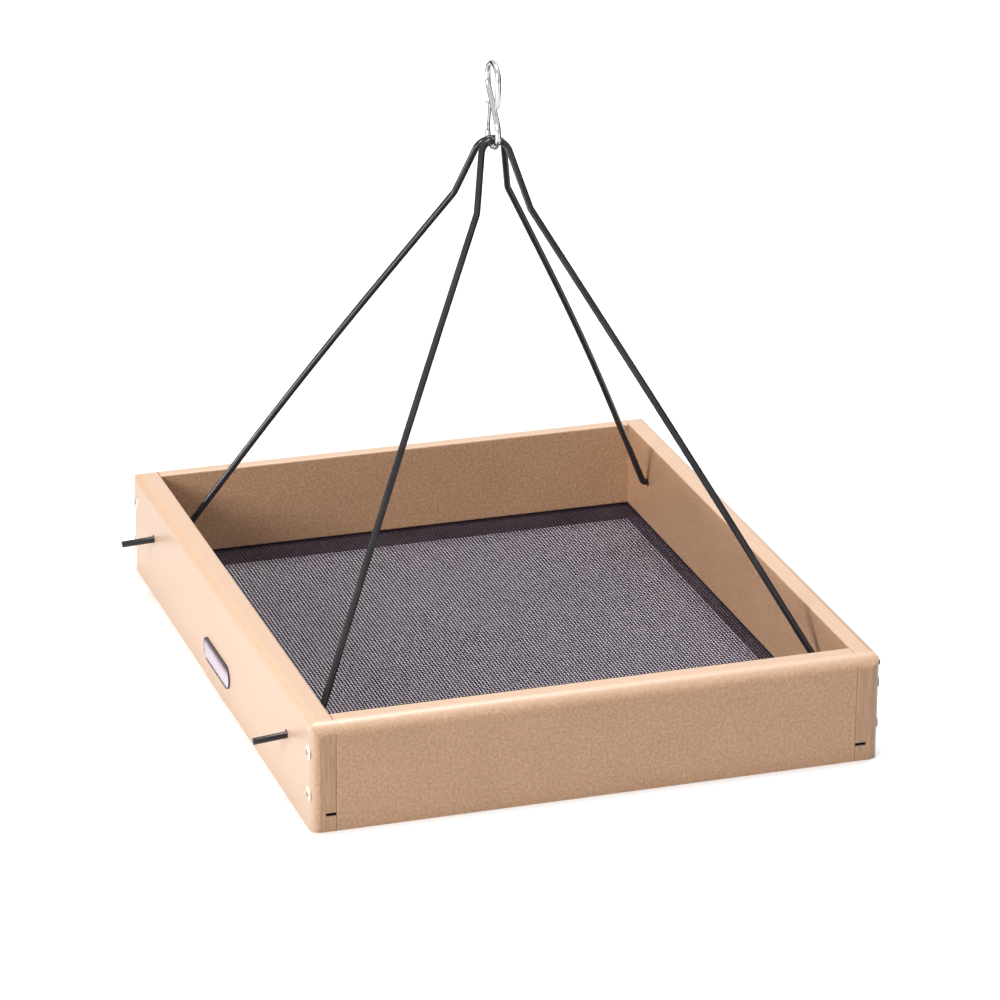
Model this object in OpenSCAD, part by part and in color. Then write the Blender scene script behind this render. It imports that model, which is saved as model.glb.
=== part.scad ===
// Hanging platform bird feeder: an open tray of four moulded boards around a mesh floor,
// carried by two bent wire hangers that meet in the lower loop of one S-hook.
// X runs from the left board to the right board, Y from front to back, Z up.
// The origin is the middle of the tray's underside.

/* [Tray] */
// Width over the two side boards
tray_w = 254; // [200:1:340]
// Depth from the front face to the back face
tray_d = 305; // [260:1:380]
// Height of the boards
board_h = 49; // [40:0.5:70]
// Thickness of the boards
board_t = 10.8; // [9:0.1:16]
// Radius of the outer top edges along the tray's two sides
side_edge_r = 4; // [1:0.1:6]
// Radius of the outer top edges along the tray's front and back
end_edge_r = 6.5; // [1:0.1:8]
// Radius of the outer upright corners
corner_r = 4; // [1:0.1:6]
// Radius of the inner top edges
inner_edge_r = 0.8; // [0.3:0.1:2]
// Radius of the edges along the joints between the boards
seam_r = 0.4; // [0.1:0.1:1]

/* [Mesh floor] */
// Height of the groove's lower face above the underside
groove_z = 7.4; // [5:0.1:12]
// Height of the saw groove that holds the mesh
groove_h = 1.0; // [1:0.1:1.6]
// Depth of the groove in each board
groove_depth = 4.6; // [3:0.1:6]
// Thickness of the mesh, two wires one over the other
mesh_t = 0.9; // [0.4:0.1:0.9]
// Gaps in the mesh across the tray's width
gaps_across = 10; // [6:1:10]
// Gaps in the mesh along the tray's depth
gaps_along = 12; // [6:1:12]
// Width of each strand of the mesh
strand_w = 5; // [3:0.5:9]

/* [Hangers] */
// Diameter of the hanger wire
wire_d = 3.0; // [2:0.1:4]
// Distance from each end of a side board to the hanger's hole
hole_from_end = 38.5; // [25:0.5:60]
// Height of the hanger's hole above the underside
hole_z = 29.2; // [22:0.1:40]
// Length of the wire's end outside the side board
stub_len = 15; // [5:0.5:25]
// Height of a hanger, measured in its own leaning plane from the holes to the wire at the top
hanger_h = 243.5; // [210:0.1:300]
// Distance from the hanger's middle to its shoulder bend
shoulder_u = 12.2; // [8:0.1:16]
// Distance from the top of the arch down to the shoulder bend, in the hanger's plane
shoulder_drop = 31.2; // [20:0.1:50]
// Radius of the wire's middle line over the top of the arch
arch_r = 6.5; // [5:0.1:9]
// Radius of the wire's middle line at the lower bends
foot_bend_r = 3; // [2.5:0.1:5]
// Radius of the wire's middle line at the shoulder bends
shoulder_bend_r = 10; // [5:1:20]

/* [S-hook] */
// Diameter of the hook's wire
hook_wire_d = 2.6; // [2:0.1:3.5]
// Radius of the middle line of both loops
loop_r = 7.6; // [7:0.1:10]
// Distance between the centres of the two loops
loop_spacing = 22.6; // [20:0.1:30]
// Length of the straight tail that ends each loop
tail_len = 10; // [4:0.5:12]
// Inward lean of each tail in degrees
tail_lean = 8; // [0:1:15]

/* [Screws] */
// Diameter of the screw's shank
screw_d = 3.5; // [3:0.1:4.5]
// Diameter of the raised countersunk head
head_d = 7; // [6:0.1:9]
// Rise of the head above the board's face
head_rise = 0.6; // [0.4:0.1:1.5]
// Length of the screw below the face
screw_len = 32; // [25:1:40]
// Height of the lower screw of each corner
lower_screw_z = 16; // [13:0.5:20]
// Height of the upper screw of each corner
upper_screw_z = 35; // [28:0.5:40]

/* [Side badge] */
// Length of the bare domed plate on the left board
badge_len = 43; // [20:1:80]
// Height of the plate
badge_h = 11; // [6:0.5:16]
// Height of the plate's middle above the underside
badge_z = 14.2; // [10:0.1:30]
// Thickness of the plate's flat rim
badge_rim_t = 0.5; // [0.3:0.1:1.5]
// Rise of the plate's dome above its rim
badge_dome = 1.0; // [0.5:0.1:2]

/* [Fits] */
// Clearance round a wire in its hole
hole_clearance = 0.5; // [0.1:0.05:0.8]
// What is left of that clearance where the leaning wire comes nearest to the hole's edges
hole_edge_gap = 0.08; // [0.05:0.01:0.1]
// Clearance round a screw and its head
screw_clearance = 0.05; // [0.02:0.01:0.2]
// Clearance between the mesh's edge and the end of its groove
mesh_clearance = 0.5; // [0.2:0.1:1.5]
// Gap between the two hangers at the top, and between them and the hook
wire_gap = 0.3; // [0.1:0.05:0.6]
// Gap between a side board's inner face and the start of the wire's lower bend
foot_gap = 0.3; // [0:0.1:2]

/* [Hidden] */
$fn = 48;

// Colours of the parts as they look in daylight
board_colour = [0.76, 0.60, 0.47];
wire_colour = [0.09, 0.09, 0.10];
mesh_colour = [0.25, 0.24, 0.27];
bright_steel = [0.80, 0.81, 0.83];

// Extra length that a cutter reaches past the surface that it cuts
cut_over = 1;

// A bend's extra thickness, and how far a straight laps into it
bend_swell = 0.02;
bend_lap = 0.1;

// Clear inside of the tray and the mesh that fills it
inner_w = tray_w - 2 * board_t;
inner_d = tray_d - 2 * board_t;
mesh_reach = groove_depth - mesh_clearance;

// A hanger's lean: its top comes to the middle of the tray, beside the other hanger's top
hole_y = tray_d / 2 - hole_from_end;
apex_y = (wire_d + wire_gap) / 2;
lean = asin((hole_y - apex_y) / hanger_h);
apex_z = hole_z + hanger_h * cos(lean);

// The sides of the arch run from its round top, as tangents, to the shoulders
shoulder_v = hanger_h - shoulder_drop;
arch_centre_v = hanger_h - arch_r;
arch_drop = shoulder_drop - arch_r;
arch_side_angle = atan2(shoulder_u, arch_drop) - asin(arch_r / norm([shoulder_u, arch_drop]));
arch_corner_v = arch_centre_v + arch_r / sin(arch_side_angle);

// The legs pull up on the tray, so each wire end droops until both edges of its hole hold it
stub_droop = atan(2 * (hole_clearance - hole_edge_gap) / board_t);
hole_middle_u = tray_w / 2 - board_t / 2;
function stub_v(u) = (hole_middle_u - u) * tan(stub_droop);

// The lower bend starts just inside the board, so its corner lies a little further in
foot_turn = atan2(shoulder_v, inner_w / 2 - shoulder_u) + stub_droop;
foot_u = inner_w / 2 - foot_gap - foot_bend_r * tan(foot_turn / 2) * cos(stub_droop);
stub_u = tray_w / 2 + stub_len;

// The hook hangs with both wires side by side on the inside of its lower loop
wire_seat_r = loop_r - hook_wire_d / 2 - wire_d / 2 - wire_gap;
lower_loop_z = apex_z + sqrt(pow(wire_seat_r, 2) - pow(apex_y, 2));

// Depth of the cone under a countersunk head, which has a right angle between its sides
head_cone = (head_d - screw_d) / 2;

// Two-dimensional outlines

// A rectangle with its lower left corner at the origin and a radius for each corner:
// lower left, lower right, upper right, upper left. A radius of 0 leaves the corner sharp.
module corner_rounded(size, radii) {
  difference() {
    square(size);
    for (c = [0:3])
      if (radii[c] > 0) {
        r = radii[c];
        right = c == 1 || c == 2;
        top = c >= 2;
        difference() {
          translate([right ? size[0] - r : 0, top ? size[1] - r : 0])
            square(r);
          translate([right ? size[0] - r : r, top ? size[1] - r : r])
            circle(r);
        }
      }
  }
}

// A slot shape centred on the origin, with its length along X
module stadium(length, height) {
  square([length - height, height], center = true);
  for (side = [-1, 1])
    translate([side * (length - height) / 2, 0])
      circle(d = height);
}

// Bent wire

function heading(a, b) = atan2(b[1] - a[1], b[0] - a[0]);

// Turn between two headings, from -180 to 180 degrees
function turn(a, b, c) =
  let (t = heading(b, c) - heading(a, b))
  t > 180 ? t - 360 : t < -180 ? t + 360 : t;

// Length that a bend takes off the straights on both sides of its corner
function setback(p, r, i) =
  (i == 0 || i == len(p) - 1) ? 0 : r[i] * tan(abs(turn(p[i - 1], p[i], p[i + 1])) / 2);

// A straight rod in the XY plane, with its ends lengthened by the laps
module rod(from, angle, length, d, lap_start = 0, lap_end = 0) {
  translate(from)
    rotate([0, 90, angle])
      translate([0, 0, -lap_start])
        cylinder(h = length + lap_start + lap_end, d = d);
}

// A round bend in the XY plane. The wire is a hair thicker there, so the straights lap into it.
module bend(centre, r, start, sweep, d) {
  translate(centre)
    rotate([0, 0, start])
      rotate_extrude(angle = sweep)
        translate([r, 0])
          circle(d = d + bend_swell);
}

// A wire along the points p, with a round bend of radius r[i] at each inner point
module bent_wire(p, r, d) {
  last = len(p) - 1;
  for (i = [0:last - 1]) {
    angle = heading(p[i], p[i + 1]);
    along = [cos(angle), sin(angle)];
    length = norm(p[i + 1] - p[i]) - setback(p, r, i) - setback(p, r, i + 1);
    lap_start = i == 0 ? 0 : bend_lap;
    lap_end = i + 1 == last ? 0 : bend_lap;
    rod(p[i] + along * setback(p, r, i), angle, length, d, lap_start, lap_end);
  }
  for (i = [1:last - 1]) {
    swing = turn(p[i - 1], p[i], p[i + 1]);
    side = sign(swing);
    angle = heading(p[i - 1], p[i]);
    along = [cos(angle), sin(angle)];
    across = [-sin(angle), cos(angle)];
    centre = p[i] - along * setback(p, r, i) + across * side * r[i];
    start = side > 0 ? angle - 90 : angle + 90 + swing;
    bend(centre, r[i], start, abs(swing), d);
  }
}

// Cutters shared by the boards and what goes through them

// Runs a shape cutter at both hanger holes of a side board
module at_hanger_holes() {
  for (end = [-1, 1])
    translate([0, end * hole_y, hole_z])
      rotate([0, 90, 0])
        children();
}

// Places a screw's axis, which points from the side board's face into the end of the board
// behind it: side -1 is the left board, end -1 is the front
module at_screw(side, end, z) {
  translate([side * tray_w / 2, end * (tray_d / 2 - board_t / 2), z])
    rotate([0, -side * 90, 0])
      children();
}

module at_screws_of(side, end) {
  for (z = [lower_screw_z, upper_screw_z])
    at_screw(side, end, z)
      children();
}

// Hole for a screw and the cone of its head, as deep as the screw is long
module screw_hole() {
  translate([0, 0, -cut_over])
    cylinder(h = screw_len + cut_over + 2 * screw_clearance, d = screw_d + 2 * screw_clearance);
  translate([0, 0, -screw_clearance])
    cylinder(h = head_cone, d1 = head_d + 2 * screw_clearance, d2 = screw_d + 2 * screw_clearance);
  translate([0, 0, -cut_over])
    cylinder(h = cut_over, d = head_d + 2 * screw_clearance);
}

// Boards

// The left board; the right one is its mirror image. It runs the tray's full depth, and its
// outer top edges and upright corners are round.
module side_board_body() {
  translate([-tray_w / 2, -tray_d / 2, 0])
    difference() {
      intersection() {
        linear_extrude(board_h)
          corner_rounded([board_t, tray_d], [corner_r, seam_r, seam_r, corner_r]);
        translate([0, tray_d, 0])
          rotate([90, 0, 0])
            linear_extrude(tray_d)
              corner_rounded([board_t, board_h], [0, 0, inner_edge_r, side_edge_r]);
        rotate([90, 0, 90])
          linear_extrude(board_t)
            corner_rounded([tray_d, board_h], [0, 0, end_edge_r, end_edge_r]);
      }
      translate([board_t - groove_depth, -cut_over, groove_z])
        cube([groove_depth + cut_over, tray_d + 2 * cut_over, groove_h]);
    }
}

module side_board(side) {
  color(board_colour)
    difference() {
      if (side < 0)
        side_board_body();
      else
        mirror([1, 0, 0])
          side_board_body();
      at_hanger_holes()
        cylinder(h = tray_w + 2 * cut_over, d = wire_d + 2 * hole_clearance, center = true);
      for (end = [-1, 1])
        at_screws_of(side, end)
          screw_hole();
    }
}

// The front board; the back one is its mirror image. It stands between the side boards.
module end_board_body() {
  difference() {
    translate([-inner_w / 2, -tray_d / 2, 0])
      intersection() {
        rotate([90, 0, 90])
          linear_extrude(inner_w)
            corner_rounded([board_t, board_h], [0, 0, inner_edge_r, end_edge_r]);
        linear_extrude(board_h)
          corner_rounded([inner_w, board_t], [seam_r, seam_r, 0, 0]);
        translate([0, board_t, 0])
          rotate([90, 0, 0])
            linear_extrude(board_t)
              corner_rounded([inner_w, board_h], [0, 0, seam_r, seam_r]);
      }
    translate([-inner_w / 2 - cut_over, -inner_d / 2 - groove_depth, groove_z])
      cube([inner_w + 2 * cut_over, groove_depth + cut_over, groove_h]);
  }
}

module end_board(end) {
  color(board_colour)
    difference() {
      if (end < 0)
        end_board_body();
      else
        mirror([0, 1, 0])
          end_board_body();
      for (side = [-1, 1])
        at_screws_of(side, end)
          screw_hole();
    }
}

// Mesh floor

// One strand along X: a flat band with a ridge along its middle, which meets the crossing ridges
module strand(length) {
  band_t = mesh_t / 3;
  ridge_w = strand_w / 3;
  translate([-length / 2, -strand_w / 2, 0])
    cube([length, strand_w, band_t]);
  translate([-length / 2, -ridge_w / 2, 0])
    cube([length, ridge_w, mesh_t * 0.6]);
}

// The strands across the width lie under those along the depth, and an edge band that the
// grooves hold goes all round
module mesh_floor() {
  reach_w = inner_w + 2 * mesh_reach;
  reach_d = inner_d + 2 * mesh_reach;
  pitch_across = inner_w / gaps_across;
  pitch_along = inner_d / gaps_along;
  color(mesh_colour)
    translate([0, 0, groove_z]) {
      for (i = [1:gaps_along - 1])
        translate([0, -inner_d / 2 + i * pitch_along, 0])
          strand(inner_w + mesh_reach);
      for (i = [1:gaps_across - 1])
        translate([-inner_w / 2 + i * pitch_across, 0, mesh_t])
          rotate([180, 0, 90])
            strand(inner_d + mesh_reach);
      difference() {
        translate([-reach_w / 2, -reach_d / 2, 0])
          cube([reach_w, reach_d, mesh_t]);
        translate([-inner_w / 2, -inner_d / 2, -cut_over])
          cube([inner_w, inner_d, mesh_t + 2 * cut_over]);
      }
    }
}

// Hangers

// One hanger in its own plane, X across the tray and Y up the hanger, from the line of its holes
module hanger_wire() {
  half = [[stub_u, stub_v(stub_u)], [foot_u, stub_v(foot_u)], [shoulder_u, shoulder_v]];
  points = [
    [-half[0][0], half[0][1]], [-half[1][0], half[1][1]], [-half[2][0], half[2][1]],
    [0, arch_corner_v],
    half[2], half[1], half[0],
  ];
  radii = [0, foot_bend_r, shoulder_bend_r, arch_r, shoulder_bend_r, foot_bend_r, 0];
  bent_wire(points, radii, wire_d);
}

// end -1 is the front hanger; each leans towards the middle of the tray
module hanger(end) {
  color(wire_colour)
    translate([0, end * hole_y, hole_z])
      rotate([90 + end * lean, 0, 0])
        hanger_wire();
}

// S-hook

// Half of the hook in the XY plane, from the middle of the S: half the straight between the
// loops, the loop and its tail
module half_hook() {
  centre = [0, loop_spacing / 2];
  // Lean of the straight that touches both loops, from the line through their centres
  cross_lean = asin(2 * loop_r / loop_spacing);
  half_cross = centre[1] * cos(cross_lean);
  rod([0, 0], 90 - cross_lean, half_cross, hook_wire_d, bend_lap, bend_lap);
  bend(centre, loop_r, -cross_lean, 180 + cross_lean + tail_lean, hook_wire_d);
  tail_from = centre + loop_r * [cos(180 + tail_lean), sin(180 + tail_lean)];
  rod(tail_from, tail_lean - 90, tail_len, hook_wire_d, bend_lap);
}

module s_hook() {
  color(bright_steel)
    translate([0, 0, lower_loop_z + loop_spacing / 2])
      rotate([90, 0, 90]) {
        half_hook();
        rotate([0, 0, 180])
          half_hook();
      }
}

// Fasteners and badge

// Wood screw with a raised countersunk head and a cross recess, pointing along +Z
module wood_screw() {
  dome_r = (pow(head_d / 2, 2) + pow(head_rise, 2)) / (2 * head_rise);
  point_len = screw_d;
  recess_w = head_d / 9;
  recess_len = head_d / 2;
  recess_depth = head_rise + head_cone / 2;
  color(bright_steel)
    difference() {
      union() {
        intersection() {
          translate([0, 0, dome_r - head_rise])
            sphere(dome_r);
          translate([0, 0, -head_rise])
            cylinder(h = head_rise, d = head_d);
        }
        cylinder(h = head_cone, d1 = head_d, d2 = screw_d);
        cylinder(h = screw_len - point_len, d = screw_d);
        translate([0, 0, screw_len - point_len])
          cylinder(h = point_len, d1 = screw_d, d2 = 0);
      }
      for (angle = [0, 90])
        rotate([0, 0, angle])
          translate([-recess_len / 2, -recess_w / 2, -head_rise - cut_over])
            cube([recess_len, recess_w, recess_depth + cut_over]);
    }
}

module board_screw(side, end, z) {
  at_screw(side, end, z)
    wood_screw();
}

// Bare stadium-shaped plate with a domed face, flat on the left board
module side_badge() {
  straight = badge_len - badge_h;
  dome_r = (pow(badge_h / 2, 2) + pow(badge_dome, 2)) / (2 * badge_dome);
  color(bright_steel)
    translate([-tray_w / 2, 0, badge_z])
      rotate([90, 0, -90]) {
        linear_extrude(badge_rim_t)
          stadium(badge_len, badge_h);
        intersection() {
          linear_extrude(badge_rim_t + badge_dome)
            stadium(badge_len, badge_h);
          translate([0, 0, badge_rim_t + badge_dome - dome_r]) {
            rotate([0, 90, 0])
              cylinder(h = straight, r = dome_r, center = true);
            for (side = [-1, 1])
              translate([side * straight / 2, 0, 0])
                sphere(dome_r);
          }
        }
      }
}

side_board(-1);  // left_board
side_board(1);  // right_board
end_board(-1);  // front_board
end_board(1);  // back_board
mesh_floor();
hanger(-1);  // front_hanger
hanger(1);  // back_hanger
s_hook();
side_badge();
board_screw(-1, -1, lower_screw_z);  // screw_front_left_lower
board_screw(-1, -1, upper_screw_z);  // screw_front_left_upper
board_screw(1, -1, lower_screw_z);  // screw_front_right_lower
board_screw(1, -1, upper_screw_z);  // screw_front_right_upper
board_screw(-1, 1, lower_screw_z);  // screw_back_left_lower
board_screw(-1, 1, upper_screw_z);  // screw_back_left_upper
board_screw(1, 1, lower_screw_z);  // screw_back_right_lower
board_screw(1, 1, upper_screw_z);  // screw_back_right_upper
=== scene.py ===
"""Hanging platform bird feeder, dressed round its fixed frame.

The tray's four boards and the screws keep the frame's shapes and get their finish here. The
woven mesh, the two wire hangers, the S-hook and the bare plate are modelled at the places
that the frame gives. Lengths are in metres: X runs from the left board to the right board,
Y from front to back, and Z up from the tray's underside.
"""

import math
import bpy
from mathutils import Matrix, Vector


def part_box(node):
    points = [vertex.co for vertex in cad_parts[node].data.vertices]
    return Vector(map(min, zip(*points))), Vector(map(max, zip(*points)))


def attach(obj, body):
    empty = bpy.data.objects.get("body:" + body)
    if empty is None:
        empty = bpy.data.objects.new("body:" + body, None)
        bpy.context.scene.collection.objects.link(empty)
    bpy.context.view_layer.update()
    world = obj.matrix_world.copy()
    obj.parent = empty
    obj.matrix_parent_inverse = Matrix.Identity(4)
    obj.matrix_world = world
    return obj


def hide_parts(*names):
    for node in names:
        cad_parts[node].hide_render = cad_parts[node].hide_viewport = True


bl_info = {
    "name": "Platform bird feeder",
    "version": (1, 0, 0),
    "blender": (4, 5, 0),
    "location": "View3D > Sidebar > Bird feeder",
    "description": "Models and finishes a hanging platform bird feeder with a woven mesh floor",
    "category": "Add Mesh",
}

import bmesh
import bpy
from mathutils import Matrix, Vector

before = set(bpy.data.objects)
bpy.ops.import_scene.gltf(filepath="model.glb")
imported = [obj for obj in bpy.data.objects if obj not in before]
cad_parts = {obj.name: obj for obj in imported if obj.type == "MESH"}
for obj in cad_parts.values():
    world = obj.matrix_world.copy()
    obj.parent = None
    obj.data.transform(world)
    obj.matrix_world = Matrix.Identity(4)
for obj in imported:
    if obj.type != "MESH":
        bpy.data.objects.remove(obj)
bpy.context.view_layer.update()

SIDE_BOARDS = ("left_board", "right_board")
END_BOARDS = ("front_board", "back_board")
SCREWS = tuple(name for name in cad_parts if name.startswith("screw_"))

LEFT_LOW, LEFT_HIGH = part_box("left_board")
RIGHT_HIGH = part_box("right_board")[1]
MESH_LOW, MESH_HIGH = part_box("mesh_floor")
HOOK_LOW, HOOK_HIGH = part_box("s_hook")
PLATE_LOW, PLATE_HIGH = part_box("side_badge")

TRAY_WIDTH = RIGHT_HIGH.x - LEFT_LOW.x
TRAY_DEPTH = LEFT_HIGH.y - LEFT_LOW.y
BOARD_THICKNESS = LEFT_HIGH.x - LEFT_LOW.x
INNER_WIDTH = TRAY_WIDTH - 2 * BOARD_THICKNESS
INNER_DEPTH = TRAY_DEPTH - 2 * BOARD_THICKNESS
MESH_LEVEL = (MESH_LOW.z + MESH_HIGH.z) / 2

# Painted shade is full up to the first distance from the mesh and gone at the second one: in the
# groove, and on the inner faces just above and below it.
GROOVE_SHADE = (0.0006, 0.0009)
LIP_SHADE = (0.0008, 0.0012)

# The camera's place, its turns and its lens in mm, for a sensor 36 mm wide.
CAMERA_PLACE = (-0.6111, -1.8716, 0.8588)
CAMERA_TURN = math.radians(-18.206)
CAMERA_TILT = math.radians(68.343)
CAMERA_ROLL = math.radians(0.398)
CAMERA_LENS = 170.75

# The lamps face this point.
OBJECT_MIDDLE = (0.0, 0.0, 0.06)

# Dark cards that only reflections show, each between two bearings in degrees from +Y.
CARDS = (("dark card right", 48, 133), ("dark card left", -50, -15), ("dark card front", 186, 203))
CARD_RADIUS = 0.45
CARD_HEIGHT = 0.5
CARD_COLOUR = (0.05, 0.05, 0.052, 1.0)


def length(name, description, default, low, high):
    """A length in metres that the sidebar shows in the scene's unit."""
    return bpy.props.FloatProperty(
        name=name, description=description, default=default,
        min=low, max=high, unit="LENGTH", precision=5,
    )


def colour(name, description, default):
    """A linear colour."""
    return bpy.props.FloatVectorProperty(
        name=name, description=description, default=default,
        size=3, min=0.0, max=1.0, subtype="COLOR",
    )


def amount(name, description, default, low, high):
    """A plain number."""
    return bpy.props.FloatProperty(
        name=name, description=description, default=default, min=low, max=high,
    )


class FeederBoards(bpy.types.PropertyGroup):
    """Looks of the moulded boards."""

    plastic: colour("Plastic", "Main colour of the recycled plastic", (0.498, 0.291, 0.17))
    dark_fleck: colour("Dark fleck", "Colour of the darker flecks", (0.4, 0.23, 0.13))
    pale_fleck: colour("Pale fleck", "Colour of the paler flecks", (0.6, 0.372, 0.23))
    # Painted light: the paler tone given to faces turned up and to the side boards' outer faces.
    painted_light_tone: colour("Painted light", "Colour of the sunned upper and outer faces", (0.512, 0.358, 0.255))
    # Painted shade in the groove for the mesh and on the inner faces just above and below it.
    groove_shade: colour("Groove shade", "Colour of the grime in the groove for the mesh", (0.03, 0.015, 0.012))
    # Painted shade on the boards' inner faces below the mesh.
    shade: colour("Under the mesh", "Colour of the boards below the mesh", (0.26, 0.19, 0.18))
    fleck_size: length("Fleck size", "Size of a fleck in the plastic", 0.0012, 0.0005, 0.01)
    cloud_size: length("Cloud size", "Size of a soft change of tone", 0.03, 0.005, 0.1)
    ripple: length("Ripple", "Depth of the moulded skin's slow ripple", 0.00007, 0.0, 0.0005)
    grain: length("Grain", "Depth of the skin's fine grain", 0.000004, 0.0, 0.00005)
    saw_mark: length("Saw marks", "Depth of the marks on the sawn ends", 0.00012, 0.0, 0.0005)
    gloss: amount("Roughness", "Roughness of the moulded skin", 0.38, 0.05, 1.0)


class FeederMesh(bpy.types.PropertyGroup):
    """Sizes and colour of the woven mesh."""

    lengthwise: bpy.props.IntProperty(
        name="Lengthwise wires", description="Number of wires that run from front to back",
        default=150, min=10, max=160,
    )
    crosswise: bpy.props.IntProperty(
        name="Crosswise wires", description="Number of wires that run from left to right",
        default=151, min=10, max=160,
    )
    wire: length("Wire", "Diameter of the lengthwise wires", 0.0007, 0.0001, 0.0008)
    thin_wire: length("Thin wire", "Diameter of the crosswise wires", 0.00034, 0.0001, 0.0005)
    wave: length("Wave", "How far each wire rises and dips at the crossings", 0.00002, 0.0, 0.0002)
    coat: colour("Coat", "Colour of the coated wire", (0.015, 0.008, 0.015))


class FeederHangers(bpy.types.PropertyGroup):
    """Sizes and colour of the bent wire hangers."""

    wire: length("Wire", "Diameter of the hanger wire", 0.003, 0.002, 0.004)
    hole_from_end: length("Hole from end", "From a side board's end to the hole", 0.0385, 0.025, 0.06)
    hole_height: length("Hole height", "Height of the holes above the underside", 0.0292, 0.022, 0.04)
    stub: length("Stub", "Length of the wire's end outside the board", 0.015, 0.005, 0.025)
    height: length("Height", "From the holes to the top, in the hanger's plane", 0.2435, 0.21, 0.3)
    shoulder: length("Shoulder", "From the hanger's middle to its shoulder bend", 0.0122, 0.008, 0.016)
    shoulder_drop: length("Shoulder drop", "From the top down to the shoulder bend", 0.0312, 0.018, 0.05)
    arch_radius: length("Arch radius", "Radius of the wire's middle line over the top", 0.0065, 0.005, 0.009)
    foot_radius: length("Lower bend", "Radius of the wire's middle line at the foot", 0.003, 0.0025, 0.005)
    shoulder_radius: length("Shoulder bend", "Radius at the shoulder", 0.01, 0.005, 0.02)
    foot_gap: length("Foot gap", "From the board's inner face to the lower bend", 0.0003, 0.0, 0.002)
    gap: length("Gap", "Between the two hangers at the top", 0.0003, 0.0001, 0.0006)
    hole_play: length("Hole play", "Gap round the wire in its hole", 0.0005, 0.0001, 0.0008)
    edge_gap: length(
        "Edge gap", "Gap left where the drooping wire end nears the hole's edge",
        0.00008, 0.00001, 0.0002,
    )
    front_bow: length("Front bow", "Outward bow of the front hanger's legs", 0.0005, 0.0, 0.003)
    back_bow: length("Back bow", "Outward bow of the back hanger's legs", 0.0014, 0.0, 0.003)
    coat: colour("Coat", "Colour of the powder coat", (0.015, 0.0125, 0.014))


class FeederHook(bpy.types.PropertyGroup):
    """Sizes and colour of the S-hook."""

    wire: length("Wire", "Diameter of the hook's wire", 0.0026, 0.002, 0.0035)
    loop_radius: length("Loop radius", "Radius of the loops' middle line", 0.0076, 0.007, 0.01)
    loop_spacing: length("Loop spacing", "Between the centres of the loops", 0.0226, 0.02, 0.03)
    tail: length("Tail", "Length of the straight end of each loop", 0.01, 0.004, 0.012)
    tail_lean: bpy.props.FloatProperty(
        name="Tail lean", description="Inward lean of each tail",
        default=math.radians(8), min=0.0, max=math.radians(15), subtype="ANGLE",
    )
    plating: colour("Plating", "Colour of the bright plating", (0.60, 0.60, 0.62))


class FeederMetal(bpy.types.PropertyGroup):
    """Colours of the screws and the bare plate."""

    zinc: colour("Zinc", "Colour of the screws", (0.62, 0.57, 0.49))
    plate: colour("Plate", "Colour of the bare plate", (0.56, 0.5, 0.6))
    rim: colour("Rim", "Colour of the plate's thin rim", (0.02, 0.015, 0.017))
    rim_width: length("Rim width", "Width of the plate's rim", 0.0003, 0.0002, 0.002)


class FeederStage(bpy.types.PropertyGroup):
    """Floor, light and camera."""

    floor: colour("Floor", "Colour of the floor as the camera sees it", (0.8, 0.8, 0.8))
    # Painted shade: the darker, lilac-tinted colour that the camera sees on the floor under the tray.
    shaded_floor: colour("Shaded floor", "Colour of the floor seen through the mesh", (0.8, 0.735, 0.8))
    bounce: amount("Bounce", "How much light the floor gives back to the object", 0.28, 0.0, 1.0)
    key: amount("Key light", "Power of the lamp at the left, in watts", 78.0, 0.0, 500.0)
    top: amount("Top light", "Power of the lamp overhead, in watts", 53.0, 0.0, 500.0)
    low: amount("Low light", "Power of the strip low at the left, in watts", 3.6, 0.0, 100.0)
    fill: amount("Ambient", "Strength of the even light from all round", 0.48, 0.0, 2.0)


# Materials


def new_material(name):
    """A node material with its shader."""
    material = bpy.data.materials.new(name)
    material.use_nodes = True
    return material, material.node_tree, material.node_tree.nodes["Principled BSDF"]


def add(tree, kind, links=(), **values):
    """A node with values on its named sockets or settings, and links into its sockets."""
    made = tree.nodes.new(kind)
    for name, value in values.items():
        label = name.replace("_", " ").title()
        if label in made.inputs:
            made.inputs[label].default_value = value
        else:
            setattr(made, name, value)
    for name, source in links:
        tree.links.new(source, made.inputs[name])
    return made


def ramp(tree, source, stops):
    """A colour ramp over a value, from stops of place and colour."""
    made = tree.nodes.new("ShaderNodeValToRGB")
    band = made.color_ramp
    while len(band.elements) < len(stops):
        band.elements.new(0.5)
    for element, (place, shade) in zip(band.elements, stops):
        element.position = place
        element.color = (*shade, 1.0)
    tree.links.new(source, made.inputs["Fac"])
    return made.outputs["Color"]


def spread(tree, source, low, high, start=0.0, end=1.0):
    """A value taken from start..end to low..high."""
    made = add(
        tree, "ShaderNodeMapRange", [("Value", source)],
        from_min=start, from_max=end, to_min=low, to_max=high,
    )
    return made.outputs["Result"]


def up_to(tree, distance, full, gone):
    """1 up to one distance, which fades to 0 at a second one."""
    return spread(tree, distance, 1.0, 0.0, full, gone)


def noise(tree, place, size, detail=3.0, roughness=0.55):
    """Soft noise whose lumps are about size across."""
    made = add(
        tree, "ShaderNodeTexNoise", [("Vector", place)],
        scale=1.0 / size, detail=detail, roughness=roughness,
    )
    return made.outputs["Fac"]


def dent(tree, height, depth, before=None):
    """A bump of that depth in metres, over another bump."""
    made = add(tree, "ShaderNodeBump", [("Height", height)], strength=1.0, distance=depth)
    if before is not None:
        tree.links.new(before, made.inputs["Normal"])
    return made.outputs["Normal"]


def stretched(tree, place, scale):
    """Object coordinates scaled along each axis, for a pattern with a direction."""
    made = add(tree, "ShaderNodeMapping", [("Vector", place)], scale=scale)
    return made.outputs["Vector"]


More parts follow.
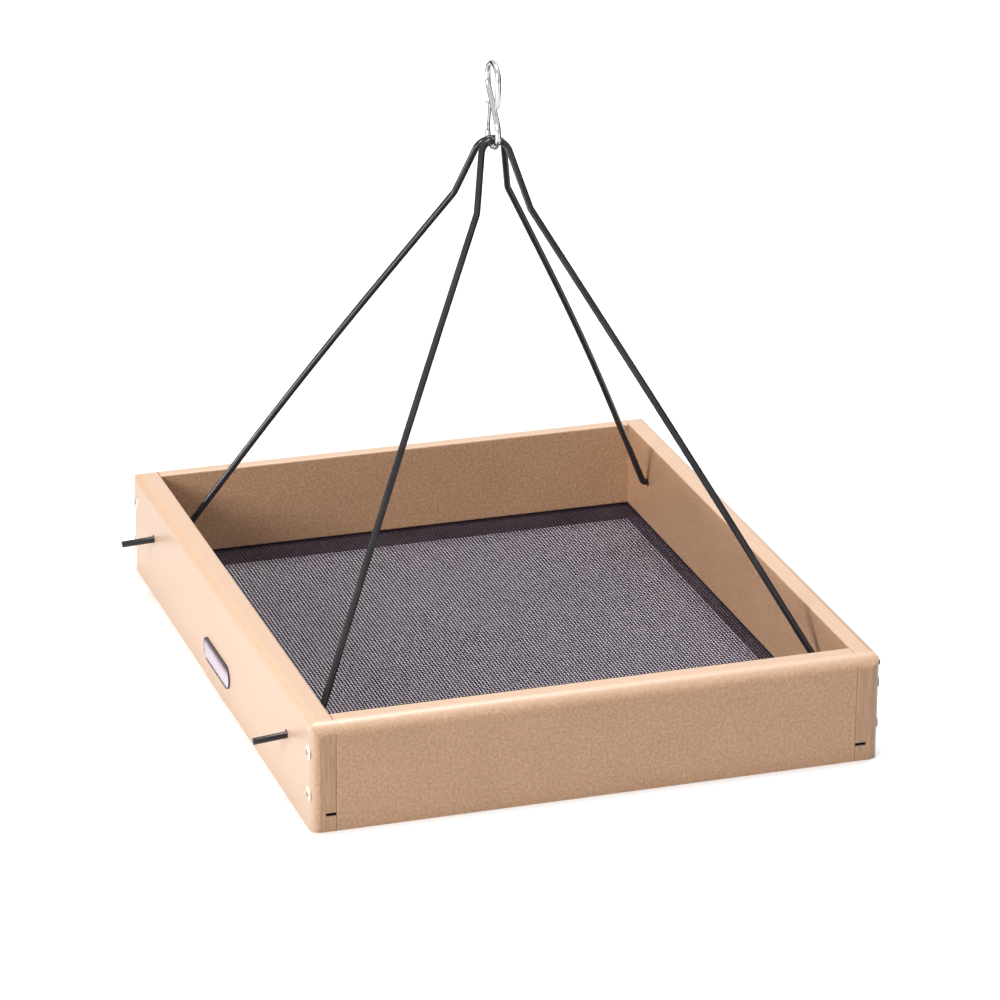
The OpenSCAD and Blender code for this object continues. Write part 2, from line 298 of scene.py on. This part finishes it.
def calculate(tree, operation, first, second=None):
    """One sum on a value and a number or another value."""
    made = tree.nodes.new("ShaderNodeMath")
    made.operation = operation
    tree.links.new(first, made.inputs[0])
    if isinstance(second, float):
        made.inputs[1].default_value = second
    elif second is not None:
        tree.links.new(second, made.inputs[1])
    return made.outputs["Value"]


def seen_directly(tree):
    """1 where the camera sees a surface itself, through glass or in a reflection, else 0."""
    seen = add(tree, "ShaderNodeLightPath")
    camera_or_glossy = calculate(
        tree, "MAXIMUM", seen.outputs["Is Camera Ray"], seen.outputs["Is Glossy Ray"]
    )
    return calculate(tree, "MAXIMUM", camera_or_glossy, seen.outputs["Is Transmission Ray"])


def mix_colours(tree, share, first, second):
    """Two colours mixed by a share."""
    made = tree.nodes.new("ShaderNodeMix")
    made.data_type = "RGBA"
    tree.links.new(share, made.inputs["Factor"])
    for socket, shade in ((made.inputs["A"], first), (made.inputs["B"], second)):
        tree.links.new(shade, socket)
    return made.outputs["Result"]


def split(tree, vector):
    """A vector's X, Y and Z as values."""
    return add(tree, "ShaderNodeSeparateXYZ", [("Vector", vector)])


def fixed(tree, shade):
    """One plain colour."""
    made = tree.nodes.new("ShaderNodeRGB")
    made.outputs["Color"].default_value = (*shade, 1.0)
    return made.outputs["Color"]


def scaled(shade, times, plus=0.0):
    """A colour made darker or lighter."""
    return [value * times + plus for value in shade]


def round_the_mesh(tree, place, axis):
    """Two masks of painted shade: the mesh's groove with its lips, and the inner face below the mesh."""
    at = split(tree, place)
    across = calculate(tree, "ABSOLUTE", at.outputs[axis])
    height = calculate(tree, "SUBTRACT", at.outputs["Z"], MESH_LEVEL)
    off_level = calculate(tree, "ABSOLUTE", height)
    edge, wall = (MESH_HIGH.x, INNER_WIDTH / 2) if axis == "X" else (MESH_HIGH.y, INNER_DEPTH / 2)
    # Painted shade in the groove, and on the lips just above and below it on the inner faces.
    level = up_to(tree, off_level, *GROOVE_SHADE)
    inside = up_to(tree, across, *(edge + reach for reach in GROOVE_SHADE))
    on_wall = up_to(tree, across, wall + 0.0001, wall + 0.0002)
    lips = calculate(tree, "MULTIPLY", up_to(tree, off_level, *LIP_SHADE), on_wall)
    groove = calculate(tree, "MAXIMUM", calculate(tree, "MULTIPLY", level, inside), lips)
    # Painted shade on the inner faces below the mesh.
    below = calculate(tree, "MULTIPLY", up_to(tree, height, -0.0002, 0.0), on_wall)
    return groove, below


def recycled_plastic(name, looks, sawn_ends):
    """Mottled tan plastic with a satin skin, with painted light that makes it paler where it faces up.

    The side boards' ends are sawn and show upright marks, and their outer faces get the same painted
    light. The inner faces below the mesh get painted shade, and the groove with its lips a darker
    painted shade.
    """
    material, tree, shader = new_material(name)
    where = add(tree, "ShaderNodeTexCoord")
    place = where.outputs["Object"]
    flecks = noise(tree, place, looks.fleck_size, 3.0, 0.62)
    clouds = noise(tree, place, looks.cloud_size, 2.0)
    mottle = calculate(tree, "ADD", flecks, spread(tree, clouds, -0.07, 0.07))
    skin = ramp(tree, mottle, [
        (0.34, looks.dark_fleck), (0.5, looks.plastic), (0.68, looks.pale_fleck),
    ])
    facing = split(tree, where.outputs["Normal"])
    # Painted light: faces turned up are mixed towards a paler tone.
    painted_light = spread(tree, facing.outputs["Z"], 0.0, 0.8, 0.2, 0.9)
    if sawn_ends:
        sideways = calculate(tree, "ABSOLUTE", split(tree, place).outputs["X"])
        # Painted light: the side boards' outer faces get the same paler tone.
        outer = spread(tree, sideways, 0.0, 0.8, TRAY_WIDTH / 2 - 0.003, TRAY_WIDTH / 2 - 0.001)
        painted_light = calculate(tree, "MAXIMUM", painted_light, outer)
    skin = mix_colours(tree, painted_light, skin, fixed(tree, looks.painted_light_tone))
    groove, below = round_the_mesh(tree, place, "X" if sawn_ends else "Y")
    roughness = spread(tree, flecks, looks.gloss - 0.05, looks.gloss + 0.06, 0.3, 0.7)
    ripple = noise(tree, place, 0.012, 2.0)
    grain = noise(tree, place, 0.0007, 2.0)
    normal = dent(tree, ripple, looks.ripple)
    normal = dent(tree, grain, looks.grain, normal)
    if sawn_ends:
        end = spread(tree, calculate(tree, "ABSOLUTE", facing.outputs["Y"]), 0.0, 1.0, 0.97, 0.995)
        marks = noise(tree, stretched(tree, place, (1.0, 1.0, 0.06)), 0.0007, 3.0, 0.6)
        tones = (looks.dark_fleck, looks.plastic, looks.pale_fleck)
        browner = [scaled(tone, 0.93) for tone in tones]
        sawn = ramp(tree, marks, list(zip((0.35, 0.52, 0.72), browner)))
        skin = mix_colours(tree, end, skin, sawn)
        normal = dent(tree, calculate(tree, "MULTIPLY", marks, end), looks.saw_mark, normal)
    # Painted shade on the inner faces below the mesh, then a darker painted shade in the groove and on its
    # lips.
    skin = mix_colours(tree, below, skin, fixed(tree, looks.shade))
    skin = mix_colours(tree, groove, skin, fixed(tree, looks.groove_shade))
    tree.links.new(skin, shader.inputs["Base Color"])
    tree.links.new(roughness, shader.inputs["Roughness"])
    tree.links.new(normal, shader.inputs["Normal"])
    shader.inputs["Specular IOR Level"].default_value = 0.65
    return material


def coated_mesh_wire(looks):
    """Dark coated mesh wire, a little dusty in places."""
    material, tree, shader = new_material("mesh wire")
    place = add(tree, "ShaderNodeTexCoord").outputs["Object"]
    dust = noise(tree, place, 0.02, 3.0)
    paler = scaled(looks.coat, 1.8, 0.004)
    tone = ramp(tree, dust, [(0.35, looks.coat), (0.75, paler)])
    tree.links.new(tone, shader.inputs["Base Color"])
    tree.links.new(spread(tree, dust, 0.4, 0.55), shader.inputs["Roughness"])
    shader.inputs["Specular IOR Level"].default_value = 0.03
    return material


def powder_coat(looks):
    """Glossy black powder coat with its fine orange-peel skin."""
    material, tree, shader = new_material("powder coat")
    place = add(tree, "ShaderNodeTexCoord").outputs["Object"]
    peel = noise(tree, place, 0.0009, 2.0)
    haze = noise(tree, place, 0.02, 3.0)
    paler = scaled(looks.coat, 1.7, 0.003)
    tone = ramp(tree, haze, [(0.4, looks.coat), (0.7, paler)])
    tree.links.new(tone, shader.inputs["Base Color"])
    tree.links.new(spread(tree, haze, 0.08, 0.14), shader.inputs["Roughness"])
    tree.links.new(dent(tree, peel, 0.00001), shader.inputs["Normal"])
    shader.inputs["Specular IOR Level"].default_value = 0.35
    return material


def bright_metal(name, tint, low, high, wave):
    """Polished or plated metal, with roughness from low to high and a slight wave."""
    material, tree, shader = new_material(name)
    place = add(tree, "ShaderNodeTexCoord").outputs["Object"]
    wear = noise(tree, place, 0.004, 4.0, 0.6)
    tone = ramp(tree, wear, [(0.4, tint), (0.72, scaled(tint, 0.86))])
    tree.links.new(tone, shader.inputs["Base Color"])
    tree.links.new(spread(tree, wear, low, high, 0.3, 0.7), shader.inputs["Roughness"])
    tree.links.new(dent(tree, noise(tree, place, 0.006, 1.0), wave), shader.inputs["Normal"])
    shader.inputs["Metallic"].default_value = 1.0
    return material


def shaded_plate(looks):
    """The plate's bright face, with painted shade and a painted dark reflection towards its upper edge."""
    material, tree, shader = new_material("polished plate")
    place = add(tree, "ShaderNodeTexCoord").outputs["Object"]
    at = split(tree, place)
    up = spread(tree, at.outputs["Z"], 0.0, 1.0, PLATE_LOW.z, PLATE_HIGH.z)
    brushed = noise(tree, stretched(tree, place, (1.0, 0.15, 1.0)), 0.0004, 2.0)
    height = calculate(tree, "ADD", up, spread(tree, brushed, -0.06, 0.06))
    # Painted shade and dark reflection: the face darkens towards its upper edge, to the rim's colour, and
    # its reflections are tinted darker there.
    tone = ramp(tree, height, [
        (0.35, looks.plate), (0.68, scaled(looks.plate, 0.8)), (0.92, looks.rim),
    ])
    painted_edge_shade = ramp(tree, height, [(0.6, (1.0, 1.0, 1.0)), (0.92, (0.5, 0.46, 0.46))])
    tree.links.new(tone, shader.inputs["Base Color"])
    tree.links.new(painted_edge_shade, shader.inputs["Specular Tint"])
    tree.links.new(spread(tree, brushed, 0.22, 0.34), shader.inputs["Roughness"])
    shader.inputs["Metallic"].default_value = 1.0
    return material


def dark_rim(tint):
    """The plate's thin dark rim."""
    material, tree, shader = new_material("plate rim")
    place = add(tree, "ShaderNodeTexCoord").outputs["Object"]
    tone = ramp(tree, noise(tree, place, 0.002), [(0.4, tint), (0.7, scaled(tint, 2.0))])
    tree.links.new(tone, shader.inputs["Base Color"])
    shader.inputs["Roughness"].default_value = 0.4
    return material


def paint(thing, material):
    """Gives a piece or a frame part one material."""
    thing.data.materials.clear()
    thing.data.materials.append(material)


# Pieces


def put_in_scene(name, shape, materials):
    """An object with a bmesh's shape, which is used up."""
    mesh = bpy.data.meshes.new(name)
    for material in materials:
        mesh.materials.append(material)
    shape.to_mesh(mesh)
    shape.free()
    thing = bpy.data.objects.new(name, mesh)
    bpy.context.scene.collection.objects.link(thing)
    return thing


def finish_piece(name, shape, materials, body, replaced):
    """Turns a bmesh into a piece that rides on a body and stands for a part of the frame."""
    bmesh.ops.remove_doubles(shape, verts=shape.verts[:], dist=1e-7)
    bmesh.ops.recalc_face_normals(shape, faces=shape.faces[:])
    piece = put_in_scene(name, shape, materials)
    piece.data.shade_smooth()
    piece.data.set_sharp_from_angle(angle=math.radians(40))
    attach(piece, body)
    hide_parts(replaced)


def edges_of(result):
    """The edges among what a bmesh operator made."""
    return [item for item in result if isinstance(item, bmesh.types.BMEdge)]


def verts_of(result):
    """The vertices among what a bmesh operator made."""
    return [item for item in result if isinstance(item, bmesh.types.BMVert)]


def pull(shape, rim, step):
    """Extrudes a rim of edges along a straight step and returns the new rim."""
    made = bmesh.ops.extrude_edge_only(shape, edges=rim)["geom"]
    bmesh.ops.translate(shape, verts=verts_of(made), vec=step)
    return edges_of(made)


def bend_wire(points, radii, diameter, sides=24, steps=10):
    """A round wire along points, bent to a radius at each inner point, with eased cut ends."""
    shape = bmesh.new()
    along = (points[1] - points[0]).normalized()
    start = Matrix.Translation(points[0]) @ along.to_track_quat("Z", "Y").to_matrix().to_4x4()
    bmesh.ops.create_circle(shape, cap_ends=True, segments=sides, radius=diameter / 2, matrix=start)
    first_rim = shape.edges[:]
    rim = first_rim
    at = points[0]
    for before, corner, after, radius in zip(points, points[1:], points[2:], radii):
        arrive = (corner - before).normalized()
        leave = (after - corner).normalized()
        turn = arrive.angle(leave)
        axis = arrive.cross(leave).normalized()
        setback = radius * math.tan(turn / 2)
        bend_from = corner - arrive * setback
        rim = pull(shape, rim, bend_from - at)
        spun = bmesh.ops.spin(
            shape, geom=rim, cent=bend_from + axis.cross(arrive) * radius,
            axis=axis, angle=turn, steps=max(6, round(steps * turn)),
        )
        rim = edges_of(spun["geom_last"])
        at = corner + leave * setback
    rim = pull(shape, rim, points[-1] - at)
    bmesh.ops.contextual_create(shape, geom=rim)
    cut_edges = [edge for edge in first_rim + rim if edge.is_valid]
    bmesh.ops.bevel(
        shape, geom=cut_edges, offset=diameter * 0.12, segments=2,
        profile=0.5, affect="EDGES", material=-1,
    )
    return shape


class FEEDER_OT_boards(bpy.types.Operator):
    """Give the four boards their recycled-plastic finish"""

    bl_idname = "feeder.boards"
    bl_label = "Finish the boards"
    bl_options = {"REGISTER", "UNDO"}

    def execute(self, context):
        looks = context.scene.feeder_boards
        sawn = recycled_plastic("board plastic with sawn ends", looks, True)
        moulded = recycled_plastic("board plastic", looks, False)
        for name in SIDE_BOARDS:
            paint(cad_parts[name], sawn)
        for name in END_BOARDS:
            paint(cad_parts[name], moulded)
        return {"FINISHED"}


def wavy_wire(shape, start, along, crossings, pitch, diameter, wave, first):
    """One mesh wire as a four-sided tube, over and under at each crossing.

    first is 1 where the wire starts over its first crossing and -1 where it starts under it.
    """
    turn = along.to_track_quat("Z", "Y").to_matrix().to_4x4()
    matrix = Matrix.Translation(start) @ turn
    made = bmesh.ops.create_circle(
        shape, cap_ends=True, segments=4, radius=diameter / 2, matrix=matrix
    )
    rim = list({edge for vert in made["verts"] for edge in vert.link_edges})
    up = Vector((0, 0, wave))
    side = first
    rim = pull(shape, rim, along * pitch / 2 + up * side)
    for _ in range(1, crossings):
        side = -side
        rim = pull(shape, rim, along * pitch + up * 2 * side)
    rim = pull(shape, rim, along * pitch / 2 - up * side)
    bmesh.ops.contextual_create(shape, geom=rim)


def weave(count, spacing, crossings, pitch, diameter, wave, along, across, first):
    """A row of wavy wires side by side, each out of step with its neighbours."""
    shape = bmesh.new()
    middle = Vector((0, 0, MESH_LEVEL))
    corner = middle - along * crossings * pitch / 2 - across * (count - 1) * spacing / 2
    for wire in range(2):
        side = first if wire == 0 else -first
        start = corner + across * spacing * wire
        wavy_wire(shape, start, along, crossings, pitch, diameter, wave, side)
    pair = shape.verts[:] + shape.edges[:] + shape.faces[:]
    for step in range(1, (count + 1) // 2):
        copied = bmesh.ops.duplicate(shape, geom=pair)["geom"]
        bmesh.ops.translate(shape, verts=verts_of(copied), vec=across * spacing * 2 * step)
    return shape


class FEEDER_OT_mesh(bpy.types.Operator):
    """Weave the mesh floor from its lengthwise and crosswise wires"""

    bl_idname = "feeder.mesh"
    bl_label = "Weave the mesh floor"
    bl_options = {"REGISTER", "UNDO"}

    def execute(self, context):
        mesh = context.scene.feeder_mesh
        size = MESH_HIGH - MESH_LOW
        spacing = size.x / mesh.lengthwise
        pitch = size.y / mesh.crosswise
        right = Vector((1, 0, 0))
        back = Vector((0, 1, 0))
        material = coated_mesh_wire(mesh)
        lengthwise = weave(
            mesh.lengthwise, spacing, mesh.crosswise, pitch, mesh.wire, mesh.wave, back, right, 1
        )
        crosswise = weave(
            mesh.crosswise, pitch, mesh.lengthwise, spacing, mesh.thin_wire, mesh.wave, right, back, -1
        )
        finish_piece("mesh_wires_lengthwise", lengthwise, [material], "tray", "mesh_floor")
        finish_piece("mesh_wires_crosswise", crosswise, [material], "tray", "mesh_floor")
        return {"FINISHED"}


def hanger_points(sizes, bow):
    """Corners of a hanger's middle line in its own plane: across, and up from the holes."""
    shoulder_up = sizes.height - sizes.shoulder_drop
    reach = INNER_WIDTH / 2
    hole_middle = reach + BOARD_THICKNESS / 2
    # The wire leans in its hole until it all but touches the hole's edges.
    droop = math.atan(2 * (sizes.hole_play - sizes.edge_gap) / BOARD_THICKNESS)
    turn = math.atan2(shoulder_up, reach - sizes.shoulder) + droop
    foot = reach - sizes.foot_gap - sizes.foot_radius * math.tan(turn / 2) * math.cos(droop)
    drop = sizes.shoulder_drop - sizes.arch_radius
    # The lines from the shoulders touch the arch's circle, and would meet at the peak above it.
    side = math.atan2(sizes.shoulder, drop) - math.asin(
        sizes.arch_radius / math.hypot(sizes.shoulder, drop)
    )
    peak = sizes.height - sizes.arch_radius + sizes.arch_radius / math.sin(side)
    stub_end = TRAY_WIDTH / 2 + sizes.stub
    tip, foot, shoulder = (
        Vector((stub_end, (hole_middle - stub_end) * math.tan(droop), 0)),
        Vector((foot, (hole_middle - foot) * math.tan(droop), 0)),
        Vector((sizes.shoulder, shoulder_up, 0)),
    )
    leg = (shoulder - foot).normalized()
    half = [tip, foot, (foot + shoulder) / 2 + Vector((leg.y, -leg.x, 0)) * 2 * bow, shoulder]
    mirrored = [Vector((-point.x, point.y, 0)) for point in half]
    return mirrored + [Vector((0, peak, 0))] + half[::-1]


class FEEDER_OT_hangers(bpy.types.Operator):
    """Bend the two wire hangers"""

    bl_idname = "feeder.hangers"
    bl_label = "Bend the hangers"
    bl_options = {"REGISTER", "UNDO"}

    def execute(self, context):
        sizes = context.scene.feeder_hangers
        hole_y = TRAY_DEPTH / 2 - sizes.hole_from_end
        lean = math.asin((hole_y - (sizes.wire + sizes.gap) / 2) / sizes.height)
        material = powder_coat(sizes)
        hangers = ((-1, "front_hanger", sizes.front_bow), (1, "back_hanger", sizes.back_bow))
        for end, name, bow in hangers:
            points = hanger_points(sizes, bow)
            # A leg bows over its whole length, so this radius reaches from foot to shoulder.
            leg_length = (points[3] - points[1]).length
            leg_radius = leg_length ** 2 / (16 * bow) if bow > 0 else 1.0
            radii = [sizes.foot_radius, leg_radius, sizes.shoulder_radius, sizes.arch_radius]
            shape = bend_wire(points, radii + radii[2::-1], sizes.wire)
            upright = Matrix.Rotation(math.radians(90) + end * lean, 4, "X")
            place = Matrix.Translation((0, end * hole_y, sizes.hole_height)) @ upright
            shape.transform(place)
            finish_piece(name + "_wire", shape, [material], "tray", name)
        return {"FINISHED"}


def bend_s_hook(sizes, sides=24):
    """The S-hook in its own plane: a tail, a loop, the straight across, a loop and a tail."""
    shape = bmesh.new()
    radius = sizes.loop_radius
    cross_lean = math.asin(2 * radius / sizes.loop_spacing)
    upper = Vector((0, sizes.loop_spacing / 2, 0))
    half_cross = upper.y * math.cos(cross_lean)
    cross = Vector((math.sin(cross_lean), math.cos(cross_lean), 0))
    start = cross.to_track_quat("Z", "Y").to_matrix().to_4x4()
    bmesh.ops.create_circle(shape, segments=sides, radius=sizes.wire / 2, matrix=start)
    rim = pull(shape, shape.edges[:], cross * half_cross)
    spun = bmesh.ops.spin(
        shape, geom=rim, cent=upper, axis=(0, 0, 1),
        angle=math.pi + cross_lean + sizes.tail_lean, steps=28,
    )
    down = Vector((math.sin(sizes.tail_lean), -math.cos(sizes.tail_lean), 0))
    rim = pull(shape, edges_of(spun["geom_last"]), down * sizes.tail)
    bmesh.ops.contextual_create(shape, geom=rim)
    bmesh.ops.bevel(
        shape, geom=rim, offset=sizes.wire * 0.12, segments=2,
        profile=0.5, affect="EDGES", material=-1,
    )
    half = shape.verts[:] + shape.edges[:] + shape.faces[:]
    other = verts_of(bmesh.ops.duplicate(shape, geom=half)["geom"])
    bmesh.ops.rotate(shape, verts=other, cent=(0, 0, 0), matrix=Matrix.Rotation(math.pi, 3, "Z"))
    return shape


class FEEDER_OT_hook(bpy.types.Operator):
    """Bend the bright S-hook"""

    bl_idname = "feeder.hook"
    bl_label = "Bend the S-hook"
    bl_options = {"REGISTER", "UNDO"}

    def execute(self, context):
        sizes = context.scene.feeder_hook
        shape = bend_s_hook(sizes)
        middle = (HOOK_LOW + HOOK_HIGH) / 2
        place = Matrix.Translation(middle) @ Matrix.Rotation(math.radians(90), 4, "Z")
        shape.transform(place @ Matrix.Rotation(math.radians(90), 4, "X"))
        material = bright_metal(
            "bright plating", sizes.plating, low=0.1, high=0.18, wave=0.00005
        )
        finish_piece("s_hook_wire", shape, [material], "hook", "s_hook")
        return {"FINISHED"}


def raise_plate(size, rim_width, steps=4):
    """A stadium-shaped plate along X, with a thin rim round a sunk, slightly domed face."""
    shape = bmesh.new()
    made = bmesh.ops.create_circle(shape, cap_ends=True, segments=64, radius=size.z / 2)
    stretch = (size.y - size.z) / 2
    for vert in made["verts"]:
        if abs(vert.co.x) > 1e-6:
            vert.co.x += math.copysign(stretch, vert.co.x)
    face = next(iter(shape.faces))
    rim_height = size.x / 2
    dip = rim_height / 3
    raised = bmesh.ops.extrude_face_region(shape, geom=[face])["geom"]
    bmesh.ops.translate(shape, verts=verts_of(raised), vec=(0, 0, rim_height))
    top = next(item for item in raised if isinstance(item, bmesh.types.BMFace))
    bmesh.ops.inset_region(shape, faces=[top], thickness=rim_width)
    inner = bmesh.ops.inset_region(shape, faces=[top], thickness=rim_width / 8)["faces"]
    bmesh.ops.translate(shape, verts=top.verts[:], vec=(0, 0, -dip))
    for item in shape.faces:
        item.material_index = 1
    for item in inner + [top]:
        item.material_index = 0
    reach = size.z / 2 - rim_width
    for step in range(steps):
        bmesh.ops.inset_region(shape, faces=[top], thickness=reach * 0.9 / steps)
        rise = dip * (2 * (steps - step) - 1) / steps ** 2
        bmesh.ops.translate(shape, verts=top.verts[:], vec=(0, 0, rise))
    return shape


class FEEDER_OT_metal(bpy.types.Operator):
    """Finish the screws and the bare plate"""

    bl_idname = "feeder.metal"
    bl_label = "Finish the screws and the plate"
    bl_options = {"REGISTER", "UNDO"}

    def execute(self, context):
        looks = context.scene.feeder_metal
        zinc = bright_metal("zinc plating", looks.zinc, low=0.5, high=0.62, wave=0.0001)
        polished = shaded_plate(looks)
        for name in SCREWS:
            paint(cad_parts[name], zinc)
        shape = raise_plate(PLATE_HIGH - PLATE_LOW, looks.rim_width)
        middle = (PLATE_LOW + PLATE_HIGH) / 2
        place = Matrix.Translation((PLATE_HIGH.x, middle.y, middle.z))
        face_left = Matrix.Rotation(math.radians(-90), 4, "Z")
        shape.transform(place @ face_left @ Matrix.Rotation(math.radians(90), 4, "X"))
        materials = [polished, dark_rim(looks.rim)]
        finish_piece("side_plate", shape, materials, "tray", "side_badge")
        return {"FINISHED"}


# Stage


def add_lamp(name, place, target, size, power):
    """A rectangular soft lamp that faces a point."""
    lamp = bpy.data.lights.new(name, "AREA")
    lamp.shape = "RECTANGLE"
    lamp.size, lamp.size_y = size
    lamp.energy = power
    thing = bpy.data.objects.new(name, lamp)
    thing.location = place
    thing.rotation_euler = (Vector(target) - Vector(place)).to_track_quat("-Z", "Y").to_euler()
    bpy.context.scene.collection.objects.link(thing)


def white_floor(looks):
    """The floor's plain finish. The camera sees it lifted to white, with the shadow kept, and under the tray
    in a painted lilac-tinted shade.
    """
    material, tree, shader = new_material("white floor")
    shader.inputs["Roughness"].default_value = 0.9
    shader.inputs["Emission Color"].default_value = (1.0, 1.0, 1.0, 1.0)
    direct = seen_directly(tree)
    place = add(tree, "ShaderNodeTexCoord").outputs["Object"]
    at = split(tree, place)
    across, along = (calculate(tree, "ABSOLUTE", at.outputs[axis]) for axis in "XY")
    # Painted shade: under the tray the camera sees the floor in the shaded floor's darker, lilac-tinted
    # colour.
    under = calculate(
        tree, "MULTIPLY",
        up_to(tree, across, TRAY_WIDTH / 2 - 0.004, TRAY_WIDTH / 2),
        up_to(tree, along, TRAY_DEPTH / 2 - 0.004, TRAY_DEPTH / 2),
    )
    seen = mix_colours(tree, under, fixed(tree, looks.floor), fixed(tree, looks.shaded_floor))
    plain = fixed(tree, [looks.bounce] * 3)
    tree.links.new(mix_colours(tree, direct, plain, seen), shader.inputs["Base Color"])
    away = add(tree, "ShaderNodeVectorMath", [("Vector", place)], operation="LENGTH")
    lift = spread(tree, away.outputs["Value"], 0.05, 0.6, 0.35, 1.0)
    tree.links.new(calculate(tree, "MULTIPLY", direct, lift), shader.inputs["Emission Strength"])
    return material


def lay_floor(looks):
    """A wide plain floor."""
    shape = bmesh.new()
    bmesh.ops.create_grid(shape, x_segments=1, y_segments=1, size=6.0)
    floor = put_in_scene("floor", shape, [white_floor(looks)])


def stand_card(name, start, end):
    """A curved dark card that only reflections show."""
    shape = bmesh.new()
    ends = [shape.verts.new((0.0, CARD_RADIUS, height)) for height in (0.0, CARD_HEIGHT)]
    edge = shape.edges.new(ends)
    turn = Matrix.Rotation(math.radians(-start), 3, "Z")
    bmesh.ops.rotate(shape, verts=ends, cent=(0, 0, 0), matrix=turn)
    bmesh.ops.spin(
        shape, geom=[edge], cent=(0, 0, 0), axis=(0, 0, 1),
        angle=math.radians(start - end), steps=12,
    )
    material, _, shader = new_material(name)
    shader.inputs["Base Color"].default_value = CARD_COLOUR
    card = put_in_scene(name, shape, [material])
    card.visible_camera = False
    card.visible_diffuse = False
    card.visible_shadow = False
    card.visible_transmission = False


def fill_world(scene, looks):
    """Even light from all round, which the camera and reflections see as white."""
    world = bpy.data.worlds.new("studio")
    world.use_nodes = True
    tree = world.node_tree
    background = tree.nodes["Background"]
    background.inputs["Color"].default_value = (1.0, 1.0, 1.0, 1.0)
    tree.links.new(
        spread(tree, seen_directly(tree), looks.fill, 1.0), background.inputs["Strength"]
    )
    scene.world = world
    scene.view_settings.view_transform = "Standard"


def place_camera(scene):
    """The camera stands in front and a little to the left, and looks down on the tray."""
    lens = bpy.data.cameras.new("camera")
    lens.sensor_width = 36.0
    lens.lens = CAMERA_LENS
    camera = bpy.data.objects.new("camera", lens)
    turn = Matrix.Rotation(CAMERA_TURN, 4, "Z")
    tilt = Matrix.Rotation(CAMERA_TILT, 4, "X")
    roll = Matrix.Rotation(CAMERA_ROLL, 4, "Z")
    camera.matrix_world = Matrix.Translation(CAMERA_PLACE) @ turn @ tilt @ roll
    scene.collection.objects.link(camera)
    scene.camera = camera


class FEEDER_OT_stage(bpy.types.Operator):
    """Set the white floor, the soft lamps and the camera"""

    bl_idname = "feeder.stage"
    bl_label = "Set the stage"
    bl_options = {"REGISTER", "UNDO"}

    def execute(self, context):
        looks = context.scene.feeder_stage
        lay_floor(looks)
        fill_world(context.scene, looks)
        add_lamp("key lamp", (-2.6, -1.5, 1.45), OBJECT_MIDDLE, (1.1, 1.1), looks.key)
        add_lamp("top lamp", (0.1, 0.1, 2.25), OBJECT_MIDDLE, (0.9, 0.9), looks.top)
        add_lamp("low strip", (-0.85, 0.0, 0.045), (0.0, 0.0, 0.045), (1.0, 0.06), looks.low)
        for name, start, end in CARDS:
            stand_card(name, start, end)
        place_camera(context.scene)
        return {"FINISHED"}


class FEEDER_PT_sidebar(bpy.types.Panel):
    """The steps that make the feeder, with their sizes and colours"""

    bl_idname = "FEEDER_PT_sidebar"
    bl_label = "Bird feeder"
    bl_space_type = "VIEW_3D"
    bl_region_type = "UI"
    bl_category = "Bird feeder"

    def draw(self, context):
        for step, group in STEPS:
            box = self.layout.box()
            box.operator(step.bl_idname)
            looks = getattr(context.scene, group)
            for name in looks.bl_rna.properties.keys():
                if name not in ("rna_type", "name"):
                    box.prop(looks, name)


GROUPS = {
    "feeder_boards": FeederBoards,
    "feeder_mesh": FeederMesh,
    "feeder_hangers": FeederHangers,
    "feeder_hook": FeederHook,
    "feeder_metal": FeederMetal,
    "feeder_stage": FeederStage,
}

STEPS = (
    (FEEDER_OT_boards, "feeder_boards"),
    (FEEDER_OT_mesh, "feeder_mesh"),
    (FEEDER_OT_hangers, "feeder_hangers"),
    (FEEDER_OT_hook, "feeder_hook"),
    (FEEDER_OT_metal, "feeder_metal"),
    (FEEDER_OT_stage, "feeder_stage"),
)


def register():
    for name, group in GROUPS.items():
        bpy.utils.register_class(group)
        setattr(bpy.types.Scene, name, bpy.props.PointerProperty(type=group))
    for step, _ in STEPS:
        bpy.utils.register_class(step)
    bpy.utils.register_class(FEEDER_PT_sidebar)


def unregister():
    bpy.utils.unregister_class(FEEDER_PT_sidebar)
    for step, _ in reversed(STEPS):
        bpy.utils.unregister_class(step)
    for name, group in GROUPS.items():
        delattr(bpy.types.Scene, name)
        bpy.utils.unregister_class(group)


def plain(box):
    """The two corners of a box as plain lists."""
    return [[float(value) for value in corner] for corner in box]


def main():
    register()
    bpy.ops.feeder.boards()
    bpy.ops.feeder.mesh()
    bpy.ops.feeder.hangers()
    bpy.ops.feeder.hook()
    bpy.ops.feeder.metal()
    bpy.ops.feeder.stage()
    bpy.context.view_layer.update()


if __name__ == "__main__":
    main()
